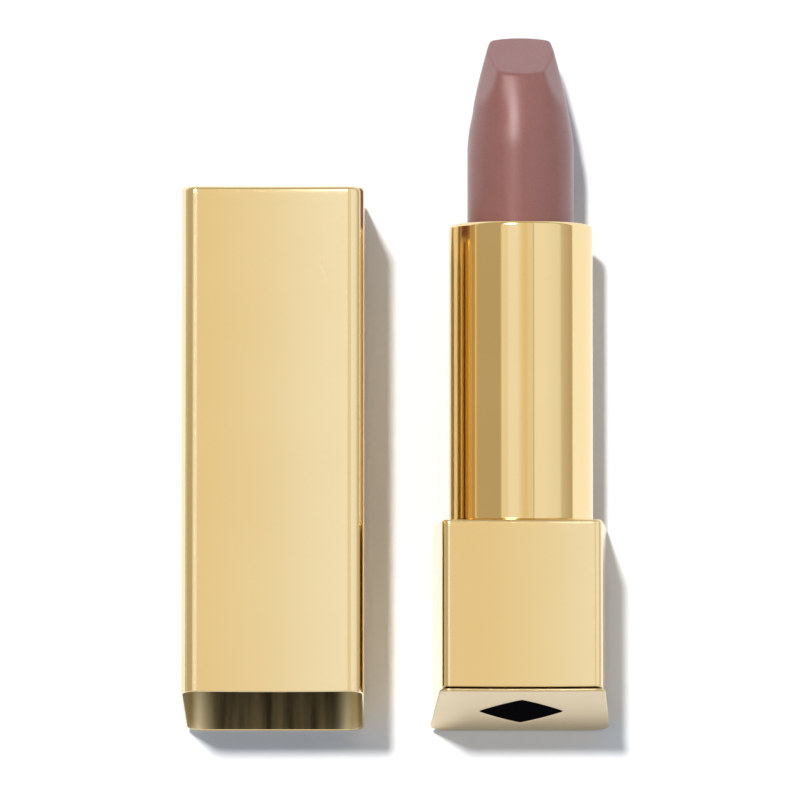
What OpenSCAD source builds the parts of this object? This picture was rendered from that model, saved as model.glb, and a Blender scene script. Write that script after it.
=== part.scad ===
// Square twist-up lipstick case, lying on its back with the cap off and the bullet raised.
// Every piece is drawn standing, with Z along the case's axis and the front facing -Y,
// and is then laid down: +Y runs towards the bullet, +X to the right, +Z up.
// Lengths are in millimetres.

/* [Case section] */
// Depth of the base, from its front face to its back face
case_d = 20; // [19.5:0.1:20.5]
// Width of the base at its front face, before the corners are rounded
front_w = 17.9; // [17.5:0.1:18.2]
// Width of the base at its back face, before the corners are rounded
back_w = 20.1; // [19.8:0.1:20.5]
// Radius of the two front corners
front_r = 0.9; // [0.7:0.1:1.2]
// Radius of the two back corners
back_r = 2.0; // [1.5:0.1:2.5]
// Lean of the bottom plate and of the cap's mouth, in degrees
slant = 12; // [9:0.5:13]

/* [Base] */
// Height of the base at its front face
base_h = 19.3; // [18.8:0.1:20]
// Thickness of the base shell's wall and top
base_wall = 0.5; // [0.4:0.05:0.6]
// Thickness of the bottom plate's rim, on which the cap's mouth rests
rim_t = 0.35; // [0.25:0.05:0.4]
// Height of the groove between the rim and the base shell
groove_t = 0.25; // [0.15:0.05:0.3]
// Thickness of the bottom plate's plug, rim included
plate_t = 1.6; // [1.2:0.1:1.8]
// Radius of the steel weight
weight_r = 7.2; // [6:0.1:7.5]
// Thickness of the steel weight
weight_t = 3; // [2:0.1:3]

/* [Inlay] */
// Length of the lozenge across the plate
inlay_w = 9.6; // [7:0.1:10]
// Length of the lozenge along the plate
inlay_l = 12; // [9:0.1:13]
// Thickness of the enamel
inlay_t = 0.5; // [0.3:0.05:0.6]

/* [Tube] */
// Outer diameter of the gold tube
tube_d = 16.4; // [16.3:0.05:16.4]
// Height of the tube's rim above the base's front bottom edge
rim_z = 53; // [52:0.1:54]
// Thickness of the tube's wall
tube_wall = 0.4; // [0.35:0.01:0.4]
// Radius of the rim's outer edge
rim_r = 0.45; // [0.3:0.05:0.5]

/* [Mechanism] */
// Diameter of the lipstick bullet
bullet_d = 12.1; // [12:0.05:12.1]
// Travel of the carrier cup
travel = 22.5; // [20:0.5:22.5]
// Rise of the carrier cup for one full turn of the tube
pitch = 15; // [14:0.5:18]
// Diameter of the carrier's lugs
lug_d = 1.4; // [1.2:0.1:1.5]
// Radial running clearance between the turning and sliding pieces
fit_gap = 0.05; // [0.03:0.01:0.06]

/* [Bullet] */
// Height of the bullet's tip above the base's front bottom edge
tip_z = 74.9; // [74:0.1:75]
// Height at which the sides start to draw in
shoulder_z = 63.4; // [62:0.1:64]
// How far the sides have drawn in at the tip
draw_in = 2.7; // [2.3:0.1:3]
// Slope of the cut at the tip, in degrees
cut_angle = 30; // [25:1:35]

/* [Cap] */
// Height of the cap at its front face
cap_h = 56.7; // [56:0.1:57]
// Width of the cap, whose sides are upright
cap_w = 20.5; // [20.5:0.1:20.8]
// Radius of the cap's two front corners
cap_front_r = 1.8; // [1.4:0.1:2.2]
// Thickness of the cap shell's wall
cap_wall = 0.25; // [0.2:0.05:0.3]
// Thickness of the cap shell's top
cap_top = 0.4; // [0.3:0.05:0.5]
// Clearance between the base and the cap that slides over it
sleeve_gap = 0.05; // [0.03:0.01:0.08]
// Thickness of the steel plate under the cap's top
cap_weight_t = 1; // [0.6:0.1:1.2]

/* [Layout] */
// Distance between the axis of the cap and the axis of the tube
spacing = 28; // [26:0.1:32]

/* [Hidden] */
$fn = 96;

gold = [0.90, 0.77, 0.53];
champagne = [0.87, 0.79, 0.62];
steel = [0.62, 0.63, 0.65];
black = [0.05, 0.05, 0.06];
resin = [0.20, 0.20, 0.21];
acetal = [0.90, 0.89, 0.86];
rose = [0.60, 0.38, 0.35];

eps = 0.01;                              // overrun of a cutter past the face that it opens
slip = 0.02;                             // clearance of pieces that are pressed or glued together
out = cap_wall + sleeve_gap;             // how far the cap stands proud of the base, all round
half_d = case_d / 2;
reach = 3 * case_d;                      // longer than any slanted cut needs
axis_h = half_d + out;                   // height of the axis above the floor
low_z = -(case_d + out) * tan(slant);    // lowest point of the bottom plate, at its back edge
mid_z = (tip_z + low_z) / 2;

tube_r = tube_d / 2;
journal_r = tube_r - 0.2;                // the tube is necked where it runs inside the base
hole_r = journal_r + 0.07;               // the hole that the tube turns in
cam_r = tube_r - tube_wall;              // outer radius of the cam sleeve, pressed into the tube
bullet_r = bullet_d / 2;
cup_wall = 0.4;
cup_r = bullet_r + cup_wall;
body_in = cup_r + fit_gap;               // inner radius of the slotted body
body_out = body_in + 0.5;
cam_in = body_out + fit_gap;
track_r = cam_in + 0.5;                  // bottom of the cam sleeve's spiral track
lug_reach = track_r - 0.1;

foot_z = 5.2;                            // underside of the slotted body's foot
foot_top = 8.7;
foot_r = cam_r - 0.2;
tube_z = 8.6;                            // lower end of the tube
ring_r = 0.37;                           // half the thickness of the friction ring
cam_z = 10;                              // lower end of the cam sleeve
body_top = rim_z - 0.9;
cam_top = rim_z - 0.7;
lip_z = rim_z - 0.6;                     // underside of the tube's inward lip
lip_in = body_in + 0.1;
bead_z = 12.5;                           // snap bead that keeps the tube on the body

cup_z = rim_z - 13.5;                    // underside of the raised carrier cup
cup_h = 11.5;
cup_floor = 0.8;
bullet_z = cup_z + cup_floor + slip;     // foot of the bullet, on the cup's floor
cut_z = tip_z - 1.7;                     // height at which the sloping cut crosses the axis
lug_z = cup_z + 1.5;
slot_play = 0.9;                         // how far slots and tracks run past the lugs' ends
slot_low = lug_z - travel - slot_play;
slot_high = lug_z + slot_play;
track_turn = 360 / pitch;                // degrees the track climbs round per millimetre
lug_room = lug_d + 0.3;                  // width of the track, square to its run
track_arc = 2 * asin(lug_room / 2 / sin(atan(pitch / (2 * PI * cam_in))) / cam_in);

liner_z = base_h + 0.9;                  // mouth of the liner, just above the closed base
liner_bore = tube_r + 0.1;
liner_lead = 0.6;                        // widening of the bore at its mouth
liner_end = rim_z + 0.6;                 // closed end of the liner's bore
weight_top = cap_h - cap_top - slip;
liner_top = weight_top - cap_weight_t - slip;
weight_inset = 0.8;                      // room round the cap's weight, for the corners of the drawn shell

// Points of an arc, from angle a0 to angle a1
function arc(cx, cy, r, a0, a1, n) =
    [for (i = [0:n]) [cx + r * cos(a0 + (a1 - a0) * i / n), cy + r * sin(a0 + (a1 - a0) * i / n)]];

// Right half of a square section with round corners, from front to back, moved inwards by inset.
// w_f, w_b: width at the front and the back; half: half the depth; r_f, r_b: corner radii
function half_section(w_f, w_b, half, r_f, r_b, inset) =
    let (lean = atan((w_b - w_f) / 4 / half),
         fr = r_f - min(inset, r_f - 0.1),
         br = r_b - inset,
         side_f = w_f / 2 - inset / cos(lean) + inset * tan(lean),
         side_b = w_b / 2 - inset / cos(lean) - inset * tan(lean),
         fx = side_f - fr / cos(lean) + fr * tan(lean),
         bx = side_b - br / cos(lean) - br * tan(lean))
    concat(arc(fx, -half + inset + fr, fr, -90, -lean, 8),
           arc(bx, half - inset - br, br, -lean, 90, 12));

// A prism whose section is the given right half and its mirror image
module mirrored_prism(right, z0, z1) {
    left = [for (i = [len(right) - 1:-1:0]) [-right[i][0], right[i][1]]];
    translate([0, 0, z0]) linear_extrude(z1 - z0) polygon(concat(right, left));
}

// A prism with the base's section, whose sides spread towards the back, moved inwards by inset
module prism(inset, z0, z1) {
    mirrored_prism(half_section(front_w, back_w, half_d, front_r, back_r, inset), z0, z1);
}

// A prism with the cap's section, whose sides are upright, moved inwards by inset
module cap_prism(inset, z0, z1) {
    mirrored_prism(half_section(cap_w, cap_w, half_d + out, cap_front_r, back_r + out, inset), z0, z1);
}

// Puts what is drawn on the ground plane onto the slanted bottom, from its front edge to its back
module on_slant() {
    translate([0, -half_d, 0]) rotate([-slant, 0, 0]) children();
}

// Everything between two planes that lean with the bottom, at heights n0 and n1 above it
module slant_slab(n0, n1) {
    on_slant() translate([-case_d, -case_d, n0]) cube([2 * case_d, reach, n1 - n0]);
}

// Everything under a plane that leans with the bottom, at height n above it
module under_slant(n) {
    slant_slab(n - case_d, n);
}

// A hollow round, from z0 to z1
module pipe(r_out, r_in, z0, z1) {
    difference() {
        translate([0, 0, z0]) cylinder(r = r_out, h = z1 - z0);
        translate([0, 0, z0 - eps]) cylinder(r = r_in, h = z1 - z0 + 2 * eps);
    }
}

// Lozenge with rounded corners, moved outwards by grow, standing on the slanted bottom
module lozenge(grow, n0, n1) {
    corner = 0.5;
    dx = inlay_w / 2 - corner + grow;
    dy = inlay_l / 2 - corner + grow;
    tilt = atan2(dx, dy);
    outline = concat(arc(dx, 0, corner, -tilt, tilt, 6), arc(0, dy, corner, tilt, 180 - tilt, 6),
                     arc(-dx, 0, corner, 180 - tilt, 180 + tilt, 6),
                     arc(0, -dy, corner, 180 + tilt, 360 - tilt, 6));
    on_slant()
        translate([0, half_d / cos(slant), n0])
        linear_extrude(n1 - n0)
        polygon(outline);
}

// Lays a piece of the lipstick down at the right
module lay_base() {
    translate([spacing / 2, -mid_z, axis_h]) rotate([-90, 0, 0]) children();
}

// Lays a piece of the cap down at the left
module lay_cap() {
    translate([-spacing / 2, -mid_z, axis_h]) rotate([-90, 0, 0]) children();
}

// Polished gold shell of the base: a drawn box, open below, with a round hole in its top
module base_shell() {
    color(gold) lay_base() difference() {
        prism(0, low_z, base_h);
        prism(base_wall, low_z - 1, base_h - base_wall);
        cylinder(r = hole_r, h = base_h + 1);
        under_slant(rim_t + groove_t);
    }
}

// Satin bottom plate: a rim as wide as the cap, and a plug that fills the shell's lower end
module base_plate() {
    color(champagne) lay_base() difference() {
        union() {
            intersection() {
                prism(-out, 2 * low_z, base_h);
                slant_slab(0, rim_t);
            }
            intersection() {
                prism(base_wall + slip, 2 * low_z, base_h);
                slant_slab(rim_t / 2, plate_t);
            }
        }
        lozenge(slip, -1, inlay_t + slip);
    }
}

// Black enamel lozenge let into the plate
module mark_inlay() {
    color(black) lay_base() lozenge(0, 0, inlay_t);
}

// Resin core that fills the shell and holds the slotted body's foot
module base_core() {
    color(resin) lay_base() difference() {
        prism(base_wall + slip, low_z, base_h - base_wall - slip);
        under_slant(plate_t + slip);
        on_slant() translate([0, half_d / cos(slant), 0])
            cylinder(r = weight_r + slip, h = plate_t + weight_t + 3 * slip);
        translate([0, 0, foot_z - slip]) cylinder(r = foot_r + slip, h = case_d);
        translate([0, 0, tube_z - 0.6]) cylinder(r = hole_r, h = case_d);
    }
}

// Steel weight that rests on the plate
module base_weight() {
    color(steel) lay_base() on_slant()
        translate([0, half_d / cos(slant), plate_t + slip])
        cylinder(r = weight_r, h = weight_t);
}

// Slotted body: a foot pressed into the core, a snap bead, and two straight slots for the lugs
module inner_body() {
    color(acetal) lay_base() difference() {
        rotate_extrude() polygon([
            [0, foot_z], [foot_r, foot_z], [foot_r, foot_top], [body_out, foot_top],
            [body_out, bead_z - 0.45], [body_out + 0.2, bead_z - 0.15],
            [body_out + 0.2, bead_z + 0.05], [body_out, bead_z + 0.45],
            [body_out, body_top], [body_in, body_top], [body_in, foot_z + 0.8], [0, foot_z + 0.8]]);
        for (side = [0, 180]) rotate([0, 0, side])
            translate([body_in - 1, -lug_d / 2 - 0.1, slot_low])
            cube([3, lug_d + 0.2, slot_high - slot_low]);
    }
}

// Friction ring that gives the twist its even drag
module friction_ring() {
    color(black) lay_base()
        translate([0, 0, foot_top + ring_r])
        rotate_extrude() translate([(body_out + cam_r) / 2, 0]) circle(r = ring_r, $fn = 32);
}

// Gold tube: drawn aluminium with an inward lip and a rounded rim
module outer_tube() {
    color(gold) lay_base() rotate_extrude() polygon(concat(
        [[cam_r, tube_z], [journal_r, tube_z], [journal_r, base_h + 0.05],
         [tube_r, base_h + 0.05]],
        arc(tube_r - rim_r, rim_z - rim_r, rim_r, 0, 90, 8),
        [[lip_in, rim_z], [lip_in, lip_z], [cam_r, lip_z]]));
}

// One turn after another of the track that carries a lug up the sleeve
module track() {
    low_turn = (slot_low - lug_z) * track_turn;
    rise = slot_high - slot_low;
    steps = 6;
    half = track_arc / 2;
    floor_arc = arc(0, 0, track_r, -half, half, steps);
    mouth_arc = arc(0, 0, cam_in - 0.3, half, -half, steps);
    translate([0, 0, slot_low])
        rotate([0, 0, low_turn])
        linear_extrude(rise, twist = -rise * track_turn, slices = ceil(rise * track_turn / 12), $fn = 12)
        polygon(concat(floor_arc, mouth_arc));
}

// Cam sleeve: pressed into the tube, with two spiral tracks and a snap groove
module cam_sleeve() {
    color(acetal) lay_base() difference() {
        rotate_extrude() polygon([
            [cam_in, cam_z], [cam_r - slip, cam_z], [cam_r - slip, cam_top], [cam_in, cam_top],
            [cam_in, bead_z + 0.7], [cam_in + 0.23, bead_z + 0.25],
            [cam_in + 0.23, bead_z - 0.35], [cam_in, bead_z - 0.7]]);
        for (side = [0, 180]) rotate([0, 0, side]) track();
    }
}

// Carrier cup: holds the foot of the bullet, with a lug on each side
module carrier_cup() {
    color(acetal) lay_base() difference() {
        union() {
            translate([0, 0, cup_z]) cylinder(r = cup_r, h = cup_h);
            translate([-lug_reach, 0, lug_z]) rotate([0, 90, 0])
                cylinder(r = lug_d / 2, h = 2 * lug_reach);
        }
        translate([0, 0, cup_z + cup_floor]) cylinder(r = bullet_r + slip, h = cup_h);
    }
}

// Lipstick bullet: a cast stick, drawn in towards the tip and cut off at a slope
module bullet() {
    side = [for (t = [0:0.1:1])
            [bullet_r - draw_in * pow(t, 1.35), shoulder_z + (tip_z - shoulder_z) * t]];
    color(rose) lay_base() difference() {
        rotate_extrude() polygon(concat([[0, bullet_z], [bullet_r, bullet_z]], side, [[0, tip_z]]));
        translate([0, 0, cut_z]) rotate([cut_angle, 0, 0])
            translate([-case_d, -case_d, 0]) cube([2 * case_d, 2 * case_d, case_d]);
    }
}

// Polished gold shell of the cap: a drawn sleeve, closed above and open at its slanted mouth
module cap_shell() {
    color(gold) lay_cap() difference() {
        cap_prism(0, low_z, cap_h);
        cap_prism(cap_wall, low_z - 1, cap_h - cap_top);
        under_slant(0);
    }
}

// Liner that fills the upper part of the cap and grips the tube
module cap_liner() {
    color(resin) lay_cap() difference() {
        cap_prism(cap_wall + slip, liner_z, liner_top);
        translate([0, 0, liner_z - eps]) cylinder(r = liner_bore, h = liner_end - liner_z);
        translate([0, 0, liner_z - eps])
            cylinder(r1 = liner_bore + liner_lead, r2 = liner_bore, h = liner_lead + eps);
    }
}

// Steel plate between the liner and the cap's top
module cap_weight() {
    color(steel) lay_cap() cap_prism(weight_inset, liner_top + slip, weight_top);
}

base_shell();
base_plate();
mark_inlay();
base_core();
base_weight();
inner_body();
friction_ring();
outer_tube();
cam_sleeve();
carrier_cup();
bullet();
cap_shell();
cap_liner();
cap_weight();
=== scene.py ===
import math

import bpy
import numpy as np
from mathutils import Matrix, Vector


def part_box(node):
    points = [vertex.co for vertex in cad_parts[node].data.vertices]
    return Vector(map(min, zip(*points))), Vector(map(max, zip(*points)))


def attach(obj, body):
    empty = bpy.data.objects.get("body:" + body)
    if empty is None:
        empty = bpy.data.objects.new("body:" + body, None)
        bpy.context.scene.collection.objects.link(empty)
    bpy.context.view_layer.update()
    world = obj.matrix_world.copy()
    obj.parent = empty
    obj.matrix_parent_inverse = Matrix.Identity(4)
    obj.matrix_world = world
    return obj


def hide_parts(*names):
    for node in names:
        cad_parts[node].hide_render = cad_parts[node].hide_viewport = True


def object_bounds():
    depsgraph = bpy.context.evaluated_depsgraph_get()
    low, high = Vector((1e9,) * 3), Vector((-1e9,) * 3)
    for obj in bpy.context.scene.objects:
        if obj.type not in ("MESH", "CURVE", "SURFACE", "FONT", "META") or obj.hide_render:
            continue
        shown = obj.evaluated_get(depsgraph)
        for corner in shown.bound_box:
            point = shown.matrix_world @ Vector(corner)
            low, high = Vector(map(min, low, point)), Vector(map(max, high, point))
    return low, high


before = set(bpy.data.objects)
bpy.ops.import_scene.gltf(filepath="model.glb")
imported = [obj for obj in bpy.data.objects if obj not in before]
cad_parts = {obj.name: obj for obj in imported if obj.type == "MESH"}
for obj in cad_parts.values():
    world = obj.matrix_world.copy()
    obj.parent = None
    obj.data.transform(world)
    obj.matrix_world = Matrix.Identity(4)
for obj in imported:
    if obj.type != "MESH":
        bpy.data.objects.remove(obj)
cad_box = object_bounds()

# ---------------------------------------------------------------- Studio: camera, lights and floor
# The case lies on white seamless paper, seen from above through a long lens that stands a little
# towards the case's foot. One key lamp from the upper left gives the shadow. Pale cards all
# round, stood side by side along the case, are what the gold mirrors in its long bands.
MM = 0.001
middle = (cad_box[0] + cad_box[1]) / 2


def linear(code):
    """Linear RGBA of an sRGB hex colour such as "#e8c98f"."""
    s = np.array([int(code[i:i + 2], 16) for i in (1, 3, 5)]) / 255
    rgb = np.where(s <= 0.04045, s / 12.92, ((s + 0.055) / 1.055) ** 2.4)
    return (*rgb.tolist(), 1.0)


def add(tree, kind, inputs=(), **settings):
    """Adds a node, sets its options, and fills its inputs with a value or a link from a socket."""
    node = tree.nodes.new("ShaderNode" + kind)
    for name, value in settings.items():
        setattr(node, name, value)
    for key, value in dict(inputs).items():
        if isinstance(value, bpy.types.NodeSocket):
            tree.links.new(value, node.inputs[key])
        else:
            node.inputs[key].default_value = value
    return node


camera = bpy.data.objects.new("camera", bpy.data.cameras.new("camera"))
bpy.context.scene.collection.objects.link(camera)
bpy.context.scene.camera = camera
camera_height = 731 * MM
camera_back = 39.2 * MM                 # how far the camera stands towards the foot from what it looks at
camera_side = 0.3 * MM                  # how far it stands to the right of the middle
look_below = 2.1 * MM                   # how far below the middle it looks
camera.data.sensor_width = 36
camera.data.lens = 286
look_y = middle.y - look_below
camera.location = (middle.x + camera_side, look_y - camera_back, camera_height)
camera.rotation_euler = (math.atan(camera_back / (camera_height - middle.z)), 0, 0)
camera.data.clip_start = 0.05
camera.data.clip_end = 20

key = bpy.data.objects.new("key_lamp", bpy.data.lights.new("key_lamp", "SUN"))
bpy.context.scene.collection.objects.link(key)
key.data.energy = 2.75
key.data.angle = math.radians(4)
key_slope = (0.17, -0.34)               # the shadow's run right and towards the foot, per unit of height
key.rotation_euler = (math.atan(key_slope[1]), math.atan(-key_slope[0]), 0)
key.visible_glossy = False              # its glint comes from the lamp's face among the cards instead

world = bpy.data.worlds.new("studio_cards")
bpy.context.scene.world = world
world.use_nodes = True
sky = world.node_tree
sky.nodes.clear()
# Cards by the angle at which they stand round the case's length: -180 is under it, -90 its left,
# 0 straight above and 90 its right
CARDS = [(-180, "#ffffff"), (-92, "#ffffff"), (-90, "#a09080"), (-82, "#d8c8ac"), (-80.6, "#fffdf4"),
         (-79.0, "#fffdf4"), (-78, "#c3b79b"), (-33, "#c3b79b"), (-31.5, "#f7f2df"), (-22, "#f7f2df"),
         (-20, "#ffffff"), (-7, "#ffffff"), (-4, "#fafaf6"), (-1, "#f5eed9"), (1.1, "#f4ead1"),
         (4, "#f1e1be"), (9, "#f1e1be"), (12, "#f3ecdc"), (18.5, "#f3ecdc"), (19.5, "#b9aa8c"),
         (20.5, "#ffffff"), (39, "#ffffff"), (42, "#fbfdfc"), (64, "#f6f6f4"), (68, "#d9d4c6"),
         (88, "#c4b7a0"), (92, "#ffffff"), (180, "#ffffff")]
where = add(sky, "TexCoord")
axes = add(sky, "SeparateXYZ", {0: where.outputs["Generated"]})
round_y = add(sky, "Math", {0: axes.outputs["X"], 1: axes.outputs["Z"]}, operation="ARCTAN2")
turn = add(sky, "MapRange", {"Value": round_y.outputs[0], "From Min": -math.pi, "From Max": math.pi})
cards = add(sky, "ValToRGB", {"Fac": turn.outputs["Result"]})
stops = cards.color_ramp.elements
while len(stops) > 1:
    stops.remove(stops[-1])
stops[0].position = 0
stops[0].color = linear(CARDS[0][1])
for angle, code in CARDS[1:]:
    stops.new((angle + 180) / 360).color = linear(code)
end_on = add(sky, "Math", {0: axes.outputs["Y"]}, operation="ABSOLUTE")
END_FROM, END_TO = 0.55, 0.92           # how far along the case the end cards begin, and are full
to_end = add(sky, "MapRange", {"Value": end_on.outputs[0], "From Min": END_FROM, "From Max": END_TO},
             interpolation_type="SMOOTHSTEP")
ends = add(sky, "Mix", {0: to_end.outputs["Result"], 6: cards.outputs["Color"],
                        7: linear("#c2b69c")}, data_type="RGBA")
# The face of the soft lamp, above and to the left: it gives the lipstick its highlight
LAMP_WAY = (-0.27, 0.39, 0.88)
LAMP_EDGE, LAMP_HEART = 0.981, 0.998    # how closely a direction agrees with it at the face's edge and heart
LAMP_GLOW = 26.0                        # its brightness, beside a white card's 1
to_lamp = add(sky, "VectorMath", {0: where.outputs["Generated"], 1: LAMP_WAY}, operation="DOT_PRODUCT")
lamp_face = add(sky, "MapRange", {"Value": to_lamp.outputs["Value"], "From Min": LAMP_EDGE,
                                  "From Max": LAMP_HEART, "To Max": LAMP_GLOW},
                interpolation_type="SMOOTHSTEP")
lit_ends = add(sky, "VectorMath", {0: ends.outputs[2], 1: lamp_face.outputs["Result"]}, operation="ADD")
# What lights the shadows is a dimmer, slightly cool fill, which evens out the gold's warm bounce
SHADOW_FILL = (0.39, 0.43, 0.49, 1)
ray = add(sky, "LightPath")
fill = add(sky, "Mix", {0: ray.outputs["Is Diffuse Ray"], 6: linear("#ffffff"), 7: SHADOW_FILL},
           data_type="RGBA")
seen = add(sky, "Mix", {0: ray.outputs["Is Glossy Ray"], 6: fill.outputs[2], 7: lit_ends.outputs[0]},
           data_type="RGBA")
glow = add(sky, "Background", {"Color": seen.outputs[2], "Strength": 1.0})
add(sky, "OutputWorld", {"Surface": glow.outputs[0]})
bpy.context.scene.view_settings.view_transform = "Standard"

FLOOR_HALF = 1.2
FLOOR_STEPS = 24


def grid_faces(rings, points, joined):
    """Quads between a grid's neighbouring rings, round each ring. If joined, the last meets the first."""
    r = np.arange(rings if joined else rings - 1)[:, None]
    p = np.arange(points)[None, :]
    after, beside = (r + 1) % rings, (p + 1) % points
    quads = np.stack(np.broadcast_arrays(r * points + p, r * points + beside,
                                         after * points + beside, after * points + p), -1)
    return quads.reshape(-1, 4)


def mesh_piece(name, verts, faces, material):
    """Puts arrays of corners and faces into a smooth mesh object that wears one material."""
    mesh = bpy.data.meshes.new(name)
    mesh.from_pydata(verts.tolist(), [], faces)
    mesh.polygons.foreach_set("use_smooth", np.ones(len(mesh.polygons), bool))
    mesh.materials.append(material)
    mesh.update()
    piece = bpy.data.objects.new(name, mesh)
    bpy.context.scene.collection.objects.link(piece)
    return piece


def new_material(name):
    """An empty node material with its output, and its tree."""
    material = bpy.data.materials.new(name)
    material.use_nodes = True
    material.node_tree.nodes.clear()
    return material, material.node_tree


# White seamless paper: chalky, with a faint fibre that only low light would show
white_paper, tree = new_material("white_paper")
place = add(tree, "TexCoord").outputs["Object"]
fibre = add(tree, "TexNoise", {"Vector": place, "Scale": 1 / (0.6 * MM), "Detail": 3.0})
tone = add(tree, "Mix", {0: fibre.outputs["Fac"], 6: linear("#f4f4f4"), 7: linear("#f8f8f8")},
           data_type="RGBA")
raised = add(tree, "Bump", {"Height": fibre.outputs["Fac"], "Strength": 0.1, "Distance": 0.02 * MM})
paper = add(tree, "BsdfPrincipled", {"Base Color": tone.outputs[2], "Roughness": 0.9,
                                     "Specular IOR Level": 0.1, "Normal": raised.outputs[0]})
add(tree, "OutputMaterial", {"Surface": paper.outputs[0]})

line = np.linspace(-FLOOR_HALF, FLOOR_HALF, FLOOR_STEPS)
floor_y, floor_x = np.meshgrid(line, line, indexing="ij")
floor_verts = np.stack([floor_x, floor_y, np.zeros_like(floor_x)], -1).reshape(-1, 3)
cell = np.arange((FLOOR_STEPS - 1) ** 2)
corner = cell // (FLOOR_STEPS - 1) * FLOOR_STEPS + cell % (FLOOR_STEPS - 1)
floor_faces = np.stack([corner, corner + 1, corner + FLOOR_STEPS + 1, corner + FLOOR_STEPS], -1)
mesh_piece("paper_floor", floor_verts, floor_faces.tolist(), white_paper)

# ---------------------------------------------------------------- Base shell
# The square lower half of the case: a box drawn from thin aluminium, open below, with a round hole in
# its top for the tube. Its front sinks in a little between the stiff corners, as drawn walls do.
# It is polished, then anodised gold, and is glued over the resin core.
base_lo, base_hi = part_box("base_shell")
plate_lo, plate_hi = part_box("base_plate")
tube_lo, tube_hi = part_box("outer_tube")
case_x = (tube_lo.x + tube_hi.x) / 2
case_z = (tube_lo.z + tube_hi.z) / 2
DEPTH = base_hi.z - base_lo.z
FRONT_W = 17.9 * MM                     # width at the front face, before the corners are rounded
BACK_W = 20.1 * MM
FRONT_R = 0.9 * MM
BACK_R = 2.0 * MM
PROUD = plate_hi.z - base_hi.z          # how far the plate's rim and the cap stand out beyond the base
SLANT = math.radians(12)
foot_y = plate_lo.y + (DEPTH + PROUD) * math.tan(SLANT)     # front edge of the slanted bottom
WALL = 0.5 * MM
SINK = 0.22 * MM                        # how deep the middle of the front face has sunk
GROOVE_TOP = 0.6 * MM                   # height of the shell's lower edge above the plate's face
SIDE_STEPS = 22
BASE_SHAPE = (FRONT_W, BACK_W, DEPTH, FRONT_R, BACK_R)      # its sides spread towards the back


def corner_of(shape, number, inset):
    """Centre and radius of one of the four round corners (front right, front left, back left, back right),
    when the whole outline is moved inwards by inset: each centre is where the two moved sides, moved in
    again by the radius, cross."""
    front_w, back_w, depth, front_r, back_r = shape
    lean = math.atan((back_w - front_w) / 2 / depth)
    front = number < 2
    sign = 1 if number in (0, 3) else -1
    radius = max((front_r if front else back_r) - inset, 0.1 * MM)
    fall = math.tan(lean) if front else -math.tan(lean)
    side = (front_w if front else back_w) / 2 - inset / math.cos(lean) + inset * fall
    x = side - radius / math.cos(lean) + radius * fall
    z = depth / 2 - inset - radius
    return sign * x, (z if front else -z), radius


def case_outline(inset, shape=BASE_SHAPE):
    """A closed square section, [points, (x, z)], moved inwards by inset. Each corner is an arc between its
    two sides' normals, each side a straight run with its points crowded towards its ends. The front side
    is sunk by a parabola that is deepest in the middle."""
    lean = math.atan((shape[1] - shape[0]) / 2 / shape[2])
    turns = [(lean, math.pi / 2), (math.pi / 2, math.pi - lean),
             (math.pi - lean, 1.5 * math.pi), (-math.pi / 2, lean)]
    parts = []
    for number, (start, end) in enumerate(turns):
        x, z, radius = corner_of(shape, number, inset)
        a = np.linspace(start, end, 17)
        parts.append(np.stack([x + radius * np.cos(a), z + radius * np.sin(a)], -1))
    runs = []
    s = (1 - np.cos(np.pi * np.arange(1, SIDE_STEPS) / SIDE_STEPS)) / 2
    for number, part in enumerate(parts):
        ahead = parts[(number + 1) % 4][0]
        runs += [part, part[-1] + (ahead - part[-1]) * s[:, None]]
    outline = np.concatenate(runs)
    flat = abs(parts[0][-1][0])
    across = np.clip(1 - (outline[:, 0] / flat) ** 2, 0, None)
    outline[:, 1] -= SINK * across * (outline[:, 1] > 0.9 * (shape[2] / 2 - inset))
    return outline


def case_ring(axis_x, inset, flat_y, height=0.0, down=0.0, shape=BASE_SHAPE):
    """One ring of a square piece in the row frame: the outline moved in by inset, at flat_y where down is 0,
    on the plane that stands height above the slanted bottom where down is 1, and mixed between."""
    outline = case_outline(inset, shape)
    slanted = foot_y + (outline[:, 1] - DEPTH / 2) * math.tan(SLANT) + height / math.cos(SLANT)
    y = flat_y * (1 - down) + slanted * down
    return np.stack([axis_x + outline[:, 0], y, case_z + outline[:, 1]], -1)


def round_ring(axis_x, radius, y):
    """A circle round the axis at y, with its points at the same bearings as the square section's."""
    outline = case_outline(0.0)
    bearing = np.arctan2(outline[:, 1], outline[:, 0])
    return np.stack([axis_x + radius * np.cos(bearing), np.full(len(bearing), y),
                     case_z + radius * np.sin(bearing)], -1)


def skin(name, rings, material, poles):
    """A closed piece from a stack of rings. With poles, each end ring is closed by a fan to its centre;
    without, the last ring meets the first. Faces are turned outwards if the signed volume is negative."""
    grid = np.array(rings)
    count, points = grid.shape[:2]
    verts = grid.reshape(-1, 3)
    faces = grid_faces(count, points, joined=not poles).tolist()
    if poles:
        last = (count - 1) * points
        verts = np.concatenate([verts, grid[0].mean(0)[None], grid[-1].mean(0)[None]])
        p = np.arange(points)
        beside = (p + 1) % points
        start = np.full(points, len(verts) - 2)
        end = np.full(points, len(verts) - 1)
        faces += np.stack([start, beside, p], -1).tolist()
        faces += np.stack([end, last + p, last + beside], -1).tolist()
    q = np.array([f[:3] for f in faces] + [(f[0], f[2], f[3]) for f in faces if len(f) == 4])
    volume = np.einsum("ij,ij->i", verts[q[:, 0]], np.cross(verts[q[:, 1]], verts[q[:, 2]])).sum()
    if volume < 0:
        faces = [f[::-1] for f in faces]
    return mesh_piece(name, verts, faces, material)


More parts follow.
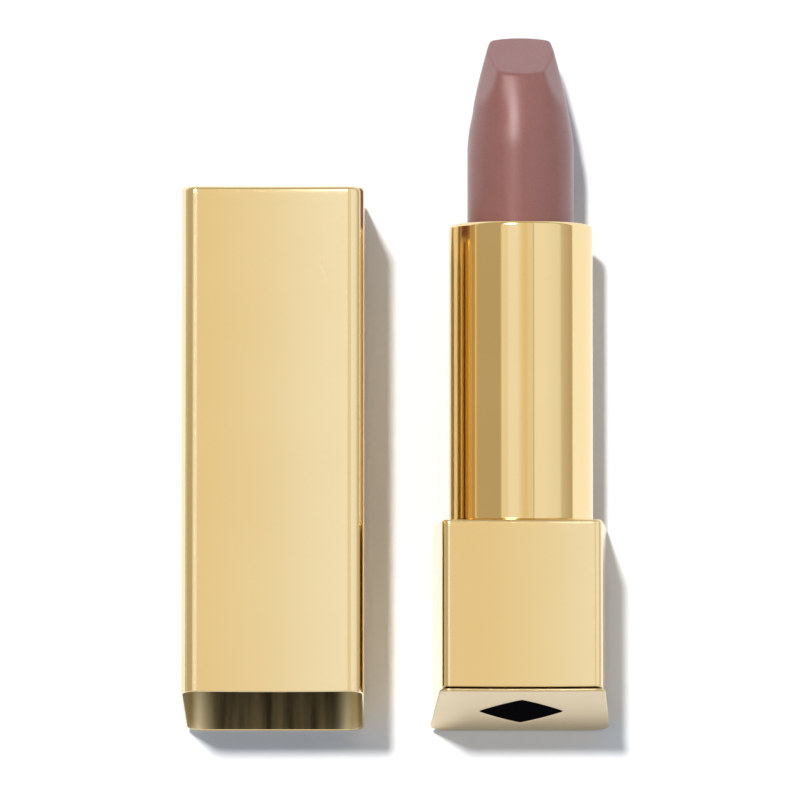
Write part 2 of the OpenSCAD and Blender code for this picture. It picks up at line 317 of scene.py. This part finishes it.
def second_material(piece, points, first_ring, material):
    """Gives a piece's second material to the faces from one ring onwards, and to its last fan."""
    faces = np.arange(len(piece.data.polygons))
    quads = np.array([len(p.vertices) for p in piece.data.polygons]) == 4
    second = np.where(quads, faces // points >= first_ring, faces >= quads.sum() + points)
    piece.data.materials.append(material)
    piece.data.polygons.foreach_set("material_index", second.astype(int))


def round_over(radius, steps=6):
    """Pairs (inwards, along) round a quarter edge: from a flat end face out and down to the wall."""
    a = np.linspace(0, math.pi / 2, steps)
    return zip(radius * (1 - np.sin(a)), radius * (1 - np.cos(a)))


def gold_finish(name, pale, deep, roughness, draw_lines):
    """Polished, gold-anodised aluminium. The tint drifts a little between two golds over some millimetres,
    and the polish keeps hairline draw marks along the case that scatter the gloss."""
    material, tree = new_material(name)
    place = add(tree, "TexCoord").outputs["Object"]
    drift = add(tree, "TexNoise", {"Vector": place, "Scale": 1 / (14 * MM), "Detail": 1.0})
    tint = add(tree, "Mix", {0: drift.outputs["Fac"], 6: linear(deep), 7: linear(pale)}, data_type="RGBA")
    drawn = add(tree, "Mapping", {"Vector": place, "Scale": (1 / (0.12 * MM), 1 / (9 * MM), 1 / (0.12 * MM))})
    hair = add(tree, "TexNoise", {"Vector": drawn.outputs[0], "Scale": 1.0, "Detail": 3.0})
    gloss = add(tree, "MapRange", {"Value": hair.outputs["Fac"], "To Min": roughness * 0.8,
                                   "To Max": roughness * 1.25})
    raised = add(tree, "Bump", {"Height": hair.outputs["Fac"], "Strength": draw_lines,
                                "Distance": 0.002 * MM})
    metal = add(tree, "BsdfPrincipled", {"Base Color": tint.outputs[2], "Metallic": 1.0,
                                         "Roughness": gloss.outputs["Result"], "Normal": raised.outputs[0]})
    add(tree, "OutputMaterial", {"Surface": metal.outputs[0]})
    return material


case_gold = gold_finish("polished_gold_anodised_aluminium", "#f3e0b6", "#efd9ab", 0.13, 0.25)

top_y = base_hi.y
hole_r = 8.07 * MM
edge = 0.4 * MM
lip = 0.1 * MM
rings = [round_ring(case_x, hole_r, top_y - WALL), round_ring(case_x, hole_r, top_y - 0.06 * MM),
         round_ring(case_x, hole_r + 0.06 * MM, top_y), case_ring(case_x, edge + 0.1 * MM, top_y)]
rings += [case_ring(case_x, inwards, top_y - along) for inwards, along in round_over(edge)]
rings += [case_ring(case_x, 0, top_y - edge, GROOVE_TOP + lip, down) for down in (0.02, 0.5, 0.98, 1.0)]
rings += [case_ring(case_x, inwards, 0, GROOVE_TOP + along, 1)
          for inwards, along in [(lip * (1 - math.cos(a)), lip * (1 - math.sin(a)))
                                 for a in np.linspace(0.2, math.pi / 2, 5)]]
rings += [case_ring(case_x, WALL, 0, GROOVE_TOP, 1), case_ring(case_x, WALL, 0, GROOVE_TOP + 0.2 * MM, 1),
          case_ring(case_x, WALL, top_y - WALL)]
base_piece = skin("base_case", rings, case_gold, poles=False)
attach(base_piece, "base")
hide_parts("base_shell")

# ---------------------------------------------------------------- Bottom plate
# A machined aluminium plate, bead-blasted and anodised champagne, pressed into the shell's lower end.
# It leans with the slanted bottom. Its rim is rolled over smooth and stands proud of the shell all
# round, so that the closed cap lands on it. A pocket in its middle takes the enamel.
RIM = 0.35 * MM
PLUG = 1.6 * MM
PLUG_INSET = WALL + 0.02 * MM
LOZENGE_W = 9.6 * MM
LOZENGE_L = 12 * MM
ENAMEL = 0.5 * MM
POCKET_GAP = 0.02 * MM


def lozenge_ring(grow, height):
    """A lozenge with rounded corners on the slanted plate, height above its face: the radius at a bearing is
    that of |x / a| + |v / b| = 1 with each term raised to a power a little over one."""
    outline = case_outline(0.0)
    bearing = np.arctan2(-outline[:, 1], outline[:, 0])
    a, b, power = LOZENGE_W / 2 + grow, LOZENGE_L / 2 + grow, 1.12
    radius = (np.abs(np.cos(bearing) / a) ** power + np.abs(np.sin(bearing) / b) ** power) ** (-1 / power)
    x, v = radius * np.cos(bearing), radius * np.sin(bearing)
    y = foot_y - DEPTH / 2 * math.tan(SLANT) - v * math.sin(SLANT) + height * math.cos(SLANT)
    z = case_z - v * math.cos(SLANT) - height * math.sin(SLANT)
    return np.stack([case_x + x, y, z], -1)


champagne, tree = new_material("satin_champagne_anodised_aluminium")
place = add(tree, "TexCoord").outputs["Object"]
bead = add(tree, "TexNoise", {"Vector": place, "Scale": 1 / (0.09 * MM), "Detail": 2.0})
cloud = add(tree, "TexNoise", {"Vector": place, "Scale": 1 / (3 * MM), "Detail": 2.0})
tint = add(tree, "Mix", {0: cloud.outputs["Fac"], 6: linear("#d0bb90"), 7: linear("#d7c4a0")},
           data_type="RGBA")
satin = add(tree, "MapRange", {"Value": bead.outputs["Fac"], "To Min": 0.3, "To Max": 0.4})
raised = add(tree, "Bump", {"Height": bead.outputs["Fac"], "Strength": 0.35, "Distance": 0.006 * MM})
metal = add(tree, "BsdfPrincipled", {"Base Color": tint.outputs[2], "Metallic": 1.0,
                                     "Roughness": satin.outputs["Result"], "Normal": raised.outputs[0]})
add(tree, "OutputMaterial", {"Surface": metal.outputs[0]})

# Painted shade: the plug's faces down in the groove round the rim are coloured near black, in place of the
# shade in the groove
painted_groove_shade, tree = new_material("painted_groove_shade_black")
place = add(tree, "TexCoord").outputs["Object"]
groove_shade_mottle = add(tree, "TexNoise", {"Vector": place, "Scale": 1 / (0.3 * MM), "Detail": 2.0})
tint = add(tree, "Mix", {0: groove_shade_mottle.outputs["Fac"], 6: linear("#0a0908"), 7: linear("#171411")},
           data_type="RGBA")
gloss = add(tree, "MapRange", {"Value": groove_shade_mottle.outputs["Fac"], "To Min": 0.5, "To Max": 0.8})
groove_shade_bsdf = add(tree, "BsdfPrincipled", {"Base Color": tint.outputs[2], "Roughness": gloss.outputs["Result"],
                                    "Specular IOR Level": 0.2})
add(tree, "OutputMaterial", {"Surface": groove_shade_bsdf.outputs[0]})

roll = RIM / 2
outer = -PROUD
rings = [lozenge_ring(-1.5 * MM, ENAMEL + POCKET_GAP), lozenge_ring(POCKET_GAP, ENAMEL + POCKET_GAP),
         lozenge_ring(POCKET_GAP, 0.03 * MM), lozenge_ring(POCKET_GAP + 0.03 * MM, 0),
         lozenge_ring(0.3 * MM, 0), case_ring(case_x, outer + roll + 0.35 * MM, 0, 0, 1)]
rings += [case_ring(case_x, outer + roll * (1 - math.sin(a)), 0, roll * (1 - math.cos(a)), 1)
          for a in np.linspace(0, math.pi, 13)]
rings += [case_ring(case_x, PLUG_INSET, 0, RIM, 1)]
plug_from = len(rings) - 1
rings += [case_ring(case_x, PLUG_INSET, 0, RIM + 0.1 * MM, 1),
          case_ring(case_x, PLUG_INSET, 0, PLUG, 1), case_ring(case_x, PLUG_INSET + 0.5 * MM, 0, PLUG, 1)]
plate_piece = skin("bottom_plate", rings, champagne, poles=True)
# The plug's faces in the groove wear the painted groove shade
second_material(plate_piece, len(rings[0]), plug_from, painted_groove_shade)
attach(plate_piece, "base")
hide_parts("base_plate")

# ---------------------------------------------------------------- Enamel lozenge
# Black enamel, poured into the plate's pocket and fired. It pulls down a little at its walls as it
# sets, so its face is a shallow dome. It is shown without its gloss, which would mirror the floor.
black_enamel, tree = new_material("fired_black_enamel")
place = add(tree, "TexCoord").outputs["Object"]
ripple = add(tree, "TexNoise", {"Vector": place, "Scale": 1 / (1.5 * MM), "Detail": 1.0})
specks = add(tree, "TexNoise", {"Vector": place, "Scale": 1 / (0.05 * MM), "Detail": 1.0})
tint = add(tree, "Mix", {0: specks.outputs["Fac"], 6: linear("#060607"), 7: linear("#0e0e10")},
           data_type="RGBA")
raised = add(tree, "Bump", {"Height": ripple.outputs["Fac"], "Strength": 0.2, "Distance": 0.01 * MM})
gloss = add(tree, "MapRange", {"Value": ripple.outputs["Fac"], "To Min": 0.22, "To Max": 0.34})
glaze = add(tree, "BsdfPrincipled", {"Base Color": tint.outputs[2], "Roughness": gloss.outputs["Result"],
                                     "Specular IOR Level": 0.0, "Normal": raised.outputs[0]})
add(tree, "OutputMaterial", {"Surface": glaze.outputs[0]})

dome = 0.02 * MM
rings = [lozenge_ring(-LOZENGE_W / 2 * (1 - s), dome * s ** 4) for s in (0.1, 0.4, 0.7, 0.9, 0.97, 1.0)]
rings += [lozenge_ring(0, 0.06 * MM), lozenge_ring(0, ENAMEL), lozenge_ring(-1.5 * MM, ENAMEL)]
enamel_piece = skin("enamel_lozenge", rings, black_enamel, poles=True)
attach(enamel_piece, "base")
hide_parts("mark_inlay")

# ---------------------------------------------------------------- Gold tube
# The round tube that the bullet comes out of: drawn aluminium with an inward lip and a rounded rim,
# polished brighter than the case and anodised gold. It turns in the base, where it is necked.
TUBE_R = (tube_hi.x - tube_lo.x) / 2
NECK_R = TUBE_R - 0.2 * MM
BORE_R = TUBE_R - 0.4 * MM
LIP_R = 6.6 * MM
LIP_T = 0.6 * MM
RIM_R = 0.45 * MM
TUBE_POINTS = 224


def turned_ring(radius, y):
    """A circle round the case's axis."""
    a = np.linspace(0, 2 * math.pi, TUBE_POINTS, endpoint=False)
    return np.stack([case_x + radius * np.cos(a), np.full(TUBE_POINTS, y), case_z + radius * np.sin(a)], -1)


tube_gold = gold_finish("bright_gold_anodised_tube", "#f1d9a6", "#ecd19a", 0.045, 0.1)
low, high = tube_lo.y, tube_hi.y
step_y = top_y + 0.05 * MM
rings = [turned_ring(BORE_R, low), turned_ring(NECK_R, low), turned_ring(NECK_R, step_y - 0.02 * MM),
         turned_ring(NECK_R + 0.02 * MM, step_y), turned_ring(TUBE_R - 0.08 * MM, step_y),
         turned_ring(TUBE_R - 0.02 * MM, step_y + 0.02 * MM), turned_ring(TUBE_R, step_y + 0.08 * MM)]
rings += [turned_ring(TUBE_R, y) for y in np.linspace(step_y + 0.3 * MM, high - RIM_R - 0.1 * MM, 8)]
rings += [turned_ring(TUBE_R - inwards, high - along)
          for inwards, along in reversed(list(round_over(RIM_R, 10)))]
inner = 0.15 * MM
rings += [turned_ring(LIP_R + inner * (1 - math.sin(a)), high - inner * (1 - math.cos(a)))
          for a in np.linspace(0, math.pi / 2, 6)]
rings += [turned_ring(LIP_R, high - LIP_T), turned_ring(BORE_R, high - LIP_T)]
tube_piece = skin("gold_tube", rings, tube_gold, poles=False)
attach(tube_piece, "tube")
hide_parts("outer_tube")

# ---------------------------------------------------------------- Lipstick bullet
# A cast stick of wax, oil and pigment, held in the carrier. The mould gives it a round body that
# flattens towards the tip, a bevel on each side that fades into the body, and one sloping cut. It
# is satin, a little translucent, and finely grained.
bullet_lo, bullet_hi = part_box("bullet")
BULLET_R = (bullet_hi.x - bullet_lo.x) / 2
SHOULDER = bullet_hi.y - 13.4 * MM      # where the sides begin to draw in
DRAWN_SIDE = 2.75 * MM                  # how far the sides have drawn in at the tip
DRAWN_FRONT = 2.95 * MM                 # how far the front and back have
SIDE_POWER = 1.5                        # how late the sides draw in; 1 would be a straight cone
FRONT_POWER = 1.55
FLATTER = 0.6                           # how much wider than its sides the ellipse is at the tip
BEVEL = math.radians(26)                # how far the two bevels face up from straight sideways
WALL_CLEAR = 1.3                        # how far out the side walls start, as a share of the side
BEVEL_CLEAR = 1.15                      # how far out the bevels start, likewise
LEAST = 0.05                            # keeps the divisors below from reaching 0
CUT = math.radians(33)
CUT_EDGE = 0.28 * MM                    # width of the rounding round the cut
CREASE = 26                             # sharpness of the creases
BULLET_POINTS = 256


def ease(x):
    """A smooth step from 0 to 1."""
    t = np.clip(x, 0, 1)
    return t * t * (3 - 2 * t)


def bullet_radius(a, y):
    """Radius of the bullet at angle a round its axis and at y: an ellipse that draws in and flattens towards
    the tip, two upright side walls and two bevels that face up, joined by a power mean so that their
    creases are a little rounded. The walls and bevels come in from outside past the shoulder."""
    t = np.clip((y - SHOULDER) / (bullet_hi.y - SHOULDER), 0, 1.1)
    side = BULLET_R - DRAWN_SIDE * t ** SIDE_POWER
    front = BULLET_R - DRAWN_FRONT * t ** FRONT_POWER
    across = side * (1 + FLATTER * ease((t - 0.25) / 0.65))
    c, s = np.abs(np.cos(a)), np.sin(a)
    oval = 1 / np.sqrt((c / across) ** 2 + (s / front) ** 2)
    wall = side * (WALL_CLEAR - (WALL_CLEAR - 1) * ease(t / 0.35)) / np.maximum(c, LEAST)
    reach = side * (math.cos(BEVEL) + (BEVEL_CLEAR - math.cos(BEVEL)) * (1 - ease(t / 0.7)))
    bevel = reach / np.maximum(c * math.cos(BEVEL) + s * math.sin(BEVEL), LEAST)
    return (oval ** -CREASE + wall ** -CREASE + bevel ** -CREASE) ** (-1 / CREASE)


angle = np.linspace(0, 2 * math.pi, BULLET_POINTS, endpoint=False)
axis_cut = bullet_hi.y - math.tan(CUT) * (BULLET_R - DRAWN_FRONT)
top_edge = np.full(BULLET_POINTS, axis_cut)
for _ in range(12):
    top_edge = axis_cut - math.tan(CUT) * bullet_radius(angle, top_edge) * np.sin(angle)


def bullet_ring(y):
    """One ring of the bullet's side, at one y or at a y for each point."""
    radius = bullet_radius(angle, y)
    return np.stack([case_x + radius * np.cos(angle), np.broadcast_to(y, angle.shape),
                     case_z + radius * np.sin(angle)], -1)


FOOT_EDGE = 0.3 * MM                    # height of the bevel round the bullet's foot
FOOT_SCALE = 0.95                       # how much the foot is drawn in there
foot = bullet_lo.y
on_axis = np.array([case_x, 0, case_z])
foot_ring = bullet_ring(foot + FOOT_EDGE) * [1, 0, 1] + [0, foot, 0]
rings = [(foot_ring - on_axis) * [FOOT_SCALE, 1, FOOT_SCALE] + on_axis]
rings += [bullet_ring(np.full(BULLET_POINTS, y)) for y in np.linspace(foot + FOOT_EDGE, SHOULDER, 26)]
wall_end = top_edge - CUT_EDGE
rings += [bullet_ring(SHOULDER + (wall_end - SHOULDER) * s) for s in np.linspace(0, 1, 49)[1:]]
rim = bullet_ring(top_edge)
centre = np.array([case_x, axis_cut, case_z])
span = np.linalg.norm(rim - centre, axis=1)[:, None]
shelf = centre + (rim - centre) * (1 - CUT_EDGE / span)
rings += [(1 - s) ** 2 * rings[-1] + 2 * s * (1 - s) * rim + s * s * shelf for s in np.linspace(0, 1, 7)[1:]]
shelf_end = rings[-1]
rings += [centre + (shelf_end - centre) * s for s in (0.94, 0.8, 0.6, 0.4, 0.2, 0.06)]

lipstick_wax, tree = new_material("cast_lipstick_wax")
place = add(tree, "TexCoord").outputs["Object"]
body = add(tree, "TexNoise", {"Vector": place, "Scale": 1 / (2.5 * MM), "Detail": 4.0})
grain = add(tree, "TexNoise", {"Vector": place, "Scale": 1 / (0.11 * MM), "Detail": 2.0, "Roughness": 0.7})
mixed = add(tree, "Mix", {0: body.outputs["Fac"], 6: linear("#7c4e49"), 7: linear("#855751")},
            data_type="RGBA")
flecks = add(tree, "MapRange", {"Value": grain.outputs["Fac"], "From Min": 0.3, "From Max": 0.7,
                                "To Min": 0.0, "To Max": 0.35})
tint = add(tree, "Mix", {0: flecks.outputs["Result"], 6: mixed.outputs[2], 7: linear("#926963")},
           data_type="RGBA")
satin = add(tree, "MapRange", {"Value": grain.outputs["Fac"], "From Min": 0.3, "From Max": 0.7,
                               "To Min": 0.26, "To Max": 0.38})
raised = add(tree, "Bump", {"Height": grain.outputs["Fac"], "Strength": 0.5, "Distance": 0.012 * MM})
wax = add(tree, "BsdfPrincipled", {"Base Color": tint.outputs[2], "Roughness": satin.outputs["Result"],
                                   "IOR": 1.45, "Subsurface Weight": 0.15, "Subsurface Scale": 0.6 * MM,
                                   "Subsurface Radius": (1.0, 0.45, 0.35), "Sheen Weight": 0.15,
                                   "Sheen Roughness": 0.45, "Sheen Tint": linear("#cfc6cc"),
                                   "Normal": raised.outputs[0]})
add(tree, "OutputMaterial", {"Surface": wax.outputs[0]})
bullet_piece = skin("lipstick_bullet", rings, lipstick_wax, poles=True)
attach(bullet_piece, "carrier")
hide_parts("bullet")

# ---------------------------------------------------------------- Cap
# A long square sleeve drawn from thin aluminium, closed above, with a mouth cut to the same lean as
# the base's bottom and its edge rolled smooth. Outside it is polished and anodised gold, as the
# base. Inside, its colour is a painted shade: dark olive with faint streaks of drawing.
cap_lo, cap_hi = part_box("cap_shell")
cap_x = (cap_lo.x + cap_hi.x) / 2
CAP_WALL = 0.25 * MM
CAP_TOP = 0.4 * MM
CAP_W = cap_hi.x - cap_lo.x
CAP_FRONT_R = 1.8 * MM
CAP_SHAPE = (CAP_W, CAP_W, DEPTH + 2 * PROUD, CAP_FRONT_R, BACK_R + PROUD)  # its sides are upright

# Painted shade: the cap's inside is coloured dark olive, streaked along the drawing, in place of the shade
# inside the cap
painted_shade_inside, tree = new_material("drawn_aluminium_painted_shade_and_reflection")
place = add(tree, "TexCoord").outputs["Object"]
drawn = add(tree, "Mapping", {"Vector": place, "Scale": (1 / (1.4 * MM), 1 / (16 * MM), 1 / (1.4 * MM))})
streaks = add(tree, "TexNoise", {"Vector": drawn.outputs[0], "Scale": 1.0, "Detail": 3.0, "Roughness": 0.5})
specks = add(tree, "TexNoise", {"Vector": place, "Scale": 1 / (0.14 * MM), "Detail": 1.0})
spread = add(tree, "MapRange", {"Value": streaks.outputs["Fac"], "From Min": 0.3, "From Max": 0.7})
tint = add(tree, "Mix", {0: spread.outputs["Result"], 6: linear("#2b271b"), 7: linear("#625842")},
           data_type="RGBA")
# Painted reflection: the two side walls inside the cap are painted paler, towards a pale gold
sides = add(tree, "SeparateXYZ", {0: place})
across = add(tree, "Math", {0: sides.outputs["X"], 1: cap_x}, operation="SUBTRACT")
away = add(tree, "Math", {0: across.outputs[0]}, operation="ABSOLUTE")
painted_side_reflection = add(tree, "MapRange", {"Value": away.outputs[0], "From Min": 6.4 * MM, "From Max": 9.8 * MM},
              interpolation_type="SMOOTHSTEP")
tint = add(tree, "Mix", {0: painted_side_reflection.outputs["Result"], 6: tint.outputs[2], 7: linear("#f2e2ba")},
           data_type="RGBA")
satin = add(tree, "MapRange", {"Value": specks.outputs["Fac"], "To Min": 0.3, "To Max": 0.5})
raised = add(tree, "Bump", {"Height": specks.outputs["Fac"], "Strength": 0.5, "Distance": 0.012 * MM})
metal = add(tree, "BsdfPrincipled", {"Base Color": tint.outputs[2], "Metallic": 1.0,
                                     "Roughness": satin.outputs["Result"], "Normal": raised.outputs[0]})
add(tree, "OutputMaterial", {"Surface": metal.outputs[0]})


def cap_ring(inset, flat_y, height=0.0, down=0.0):
    """One ring of the cap, its section moved inwards by inset; the rest is as for the base."""
    return case_ring(cap_x, inset, flat_y, height, down, CAP_SHAPE)


end_y = cap_hi.y
edge = 0.55 * MM
lip = CAP_WALL / 2
rim = cap_ring(edge + 0.1 * MM, end_y)
centre = np.array([cap_x, end_y, case_z])
rings = [centre + (rim - centre) * s for s in (0.05, 0.3, 0.6, 0.9, 1.0)]
rings += [cap_ring(inwards, end_y - along) for inwards, along in round_over(edge)]
rings += [cap_ring(0, end_y - edge, lip, down) for down in (0.01, 0.25, 0.5, 0.75, 0.99)]
rings += [cap_ring(lip * (1 - math.cos(a)), 0, lip * (1 - math.sin(a)), 1)
          for a in np.linspace(0, math.pi, 11)]
inside_from = len(rings) - 1
rings += [cap_ring(CAP_WALL, end_y - CAP_TOP, lip, down) for down in (0.99, 0.5, 0.01, 0.0)]
rim = cap_ring(CAP_WALL + 0.1 * MM, end_y - CAP_TOP)
centre = np.array([cap_x, end_y - CAP_TOP, case_z])
rings += [centre + (rim - centre) * s for s in (1.0, 0.5, 0.05)]
cap_piece = skin("cap_case", rings, case_gold, poles=True)
# The faces inside the cap wear the painted shade, and the painted reflection on its side walls
second_material(cap_piece, len(rings[0]), inside_from, painted_shade_inside)
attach(cap_piece, "cap")
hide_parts("cap_shell")

# ---------------------------------------------------------------- Inner pieces
# The pieces that make the case work, kept as they were designed: white acetal mouldings, dark resin
# blocks, zinc-plated steel weights and a greased rubber ring.


def wear(names, material):
    """Gives the designed pieces of those names one material."""
    for name in names:
        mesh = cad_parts[name].data
        mesh.materials.clear()
        mesh.materials.append(material)


acetal, tree = new_material("moulded_white_acetal")
place = add(tree, "TexCoord").outputs["Object"]
flow = add(tree, "TexNoise", {"Vector": place, "Scale": 1 / (3 * MM), "Detail": 2.0})
pores = add(tree, "TexNoise", {"Vector": place, "Scale": 1 / (0.2 * MM), "Detail": 2.0})
tint = add(tree, "Mix", {0: flow.outputs["Fac"], 6: linear("#efede6"), 7: linear("#e4e1d8")},
           data_type="RGBA")
satin = add(tree, "MapRange", {"Value": pores.outputs["Fac"], "To Min": 0.32, "To Max": 0.48})
raised = add(tree, "Bump", {"Height": pores.outputs["Fac"], "Strength": 0.2, "Distance": 0.01 * MM})
plastic = add(tree, "BsdfPrincipled", {"Base Color": tint.outputs[2], "Roughness": satin.outputs["Result"],
                                       "IOR": 1.48, "Subsurface Weight": 0.1, "Subsurface Scale": 1 * MM,
                                       "Normal": raised.outputs[0]})
add(tree, "OutputMaterial", {"Surface": plastic.outputs[0]})
wear(("inner_body", "cam_sleeve", "carrier_cup"), acetal)

resin, tree = new_material("moulded_dark_resin")
place = add(tree, "TexCoord").outputs["Object"]
flow = add(tree, "TexNoise", {"Vector": place, "Scale": 1 / (4 * MM), "Detail": 2.0})
texture = add(tree, "TexNoise", {"Vector": place, "Scale": 1 / (0.25 * MM), "Detail": 3.0})
tint = add(tree, "Mix", {0: flow.outputs["Fac"], 6: linear("#2a2a2c"), 7: linear("#353537")},
           data_type="RGBA")
satin = add(tree, "MapRange", {"Value": texture.outputs["Fac"], "To Min": 0.5, "To Max": 0.7})
raised = add(tree, "Bump", {"Height": texture.outputs["Fac"], "Strength": 0.4, "Distance": 0.02 * MM})
plastic = add(tree, "BsdfPrincipled", {"Base Color": tint.outputs[2], "Roughness": satin.outputs["Result"],
                                       "IOR": 1.5, "Normal": raised.outputs[0]})
add(tree, "OutputMaterial", {"Surface": plastic.outputs[0]})
wear(("base_core", "cap_liner"), resin)

plated_steel, tree = new_material("zinc_plated_steel")
place = add(tree, "TexCoord").outputs["Object"]
spangle = add(tree, "TexVoronoi", {"Vector": place, "Scale": 1 / (1.2 * MM)})
tint = add(tree, "Mix", {0: spangle.outputs["Color"], 6: linear("#b4b8bb"), 7: linear("#cdd0d0")},
           data_type="RGBA")
satin = add(tree, "MapRange", {"Value": spangle.outputs["Distance"], "To Min": 0.28, "To Max": 0.42})
metal = add(tree, "BsdfPrincipled", {"Base Color": tint.outputs[2], "Metallic": 1.0,
                                     "Roughness": satin.outputs["Result"]})
add(tree, "OutputMaterial", {"Surface": metal.outputs[0]})
wear(("base_weight", "cap_weight"), plated_steel)

rubber, tree = new_material("greased_black_rubber")
place = add(tree, "TexCoord").outputs["Object"]
grease = add(tree, "TexNoise", {"Vector": place, "Scale": 1 / (0.8 * MM), "Detail": 3.0})
tint = add(tree, "Mix", {0: grease.outputs["Fac"], 6: linear("#101011"), 7: linear("#1f1f20")},
           data_type="RGBA")
gloss = add(tree, "MapRange", {"Value": grease.outputs["Fac"], "To Min": 0.2, "To Max": 0.5})
ring = add(tree, "BsdfPrincipled", {"Base Color": tint.outputs[2], "Roughness": gloss.outputs["Result"]})
add(tree, "OutputMaterial", {"Surface": ring.outputs[0]})
wear(("friction_ring",), rubber)
